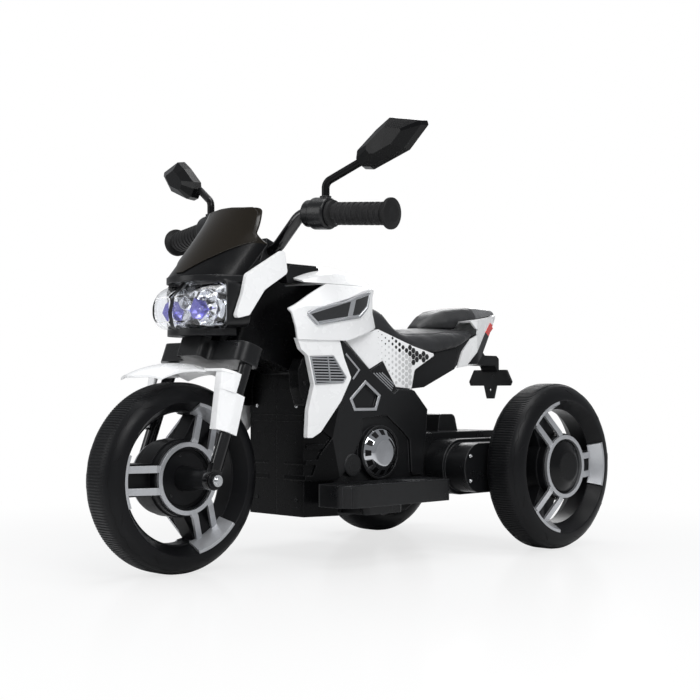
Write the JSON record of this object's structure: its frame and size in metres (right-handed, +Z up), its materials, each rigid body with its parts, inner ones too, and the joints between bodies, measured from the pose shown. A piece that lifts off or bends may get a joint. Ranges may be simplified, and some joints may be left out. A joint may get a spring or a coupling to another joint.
{
  "type": "kids electric motorbike",
  "caption": "Battery ride-on toy styled as a street motorbike, with a steered front wheel, driven rear wheels, padded seat, footrests and turning mirrors.",
  "frame": {"origin": "on the ground, midway between the axles, in the middle plane", "axes": "+X forward, +Y to the rider's left, +Z up"},
  "size_m": [0.99, 0.6616, 0.7155],
  "materials": {
    "black_plastic": "fine-grained moulded black",
    "white_plastic": "gloss white moulding",
    "silver_plastic": "satin silver moulding",
    "wheel_plastic": "blow-moulded black",
    "grip_rubber": "soft ribbed black",
    "steel": "zinc plated",
    "black_steel": "gloss black paint",
    "chrome": "vacuum chromed plastic",
    "clear": "clear moulded lens",
    "smoke": "dark smoked gloss",
    "mirror": "silvered",
    "red_lens": "red translucent",
    "seat_leather": "dark grey leatherette",
    "badge": "dark grey panel with a silver edge",
    "battery": "sealed battery case"
  },
  "bodies": {
    "chassis": {"body_left": "black_plastic", "body_right": "black_plastic", "tank_cover": "white_plastic", "shroud_left": "white_plastic", "shroud_right": "white_plastic", "badge_left": "badge", "badge_right": "badge", "grille_left": "silver_plastic", "grille_right": "silver_plastic", "dash": "black_plastic", "side_cover_left": "white_plastic", "side_cover_right": "white_plastic", "seat": "seat_leather", "pillion_pad": "seat_leather", "tail_cover": "white_plastic", "tail_light": "red_lens", "plate_holder": "black_plastic", "engine_dome_left": "chrome", "engine_dome_right": "chrome", "footrest_left": "black_plastic", "footrest_right": "black_plastic", "rear_beam": "black_plastic", "rear_axle": "steel", "gearbox_left": "black_plastic", "gearbox_right": "black_plastic", "battery": "battery"},
    "steering": {"fork_left": "black_steel", "fork_right": "black_steel", "front_axle": "steel", "fender": "white_plastic", "steering_stem": "black_plastic", "upper_yoke": "black_plastic", "headlight_housing": "black_plastic", "headlight_reflector": "chrome", "headlight_lens": "clear", "windscreen": "smoke", "cowl_left": "white_plastic", "cowl_right": "white_plastic", "handlebar": "black_steel", "grip_left": "grip_rubber", "grip_right": "grip_rubber", "switch_housing_left": "black_plastic", "switch_housing_right": "black_plastic"},
    "front_wheel": {"front_tyre": "wheel_plastic", "front_wheel_trim_left": "silver_plastic", "front_wheel_trim_right": "silver_plastic"},
    "rear_wheel_left": {"rear_tyre_left": "wheel_plastic", "rear_wheel_trim_left": "silver_plastic", "rear_hub_cap_left": "black_plastic"},
    "rear_wheel_right": {"rear_tyre_right": "wheel_plastic", "rear_wheel_trim_right": "silver_plastic", "rear_hub_cap_right": "black_plastic"},
    "mirror_left": {"mirror_left": "black_plastic", "mirror_glass_left": "mirror"},
    "mirror_right": {"mirror_right": "black_plastic", "mirror_glass_right": "mirror"},
    "horn_button": {"horn_button": "black_plastic"},
    "pedal": {"pedal": "black_plastic"},
    "power_rocker": {"power_rocker": "silver_plastic"},
    "direction_rocker": {"direction_rocker": "silver_plastic"}
  },
  "joints": [
    {"name": "steering_turn", "type": "hinge", "parent": "chassis", "child": "steering", "pos_m": [0.345, 0, 0.15], "axis": [-0.3486, 0, 0.9373], "range_deg": [-25, 25]},
    {"name": "front_wheel_spin", "type": "hinge", "parent": "steering", "child": "front_wheel", "pos_m": [0.345, 0, 0.15], "axis": [0, 1, 0], "continuous": true},
    {"name": "rear_wheel_left_spin", "type": "hinge", "parent": "chassis", "child": "rear_wheel_left", "pos_m": [-0.345, 0.22, 0.15], "axis": [0, 1, 0], "continuous": true},
    {"name": "rear_wheel_right_spin", "type": "hinge", "parent": "chassis", "child": "rear_wheel_right", "pos_m": [-0.345, -0.22, 0.15], "axis": [0, 1, 0], "continuous": true},
    {"name": "mirror_left_turn", "type": "hinge", "parent": "steering", "child": "mirror_left", "pos_m": [0.15582, 0.148, 0.59929], "axis": [0, 0, 1], "range_deg": [-20, 20]},
    {"name": "mirror_right_turn", "type": "hinge", "parent": "steering", "child": "mirror_right", "pos_m": [0.15582, -0.148, 0.59929], "axis": [0, 0, 1], "range_deg": [-20, 20]},
    {"name": "horn_press", "type": "slide", "parent": "steering", "child": "horn_button", "axis": [1, 0, 0], "range_m": [0, 0.002], "stiffness_N_per_m": 400},
    {"name": "pedal_press", "type": "hinge", "parent": "chassis", "child": "pedal", "pos_m": [0.018, -0.1284, 0.1394], "axis": [0, 1, 0], "range_deg": [0, 8], "stiffness_Nm_per_rad": 3},
    {"name": "power_tip", "type": "hinge", "parent": "chassis", "child": "power_rocker", "pos_m": [0.105, 0.017, 0.496], "axis": [0, 1, 0], "range_deg": [-7, 7]},
    {"name": "direction_tip", "type": "hinge", "parent": "chassis", "child": "direction_rocker", "pos_m": [0.105, -0.017, 0.496], "axis": [0, 1, 0], "range_deg": [-7, 7]}
  ]
}
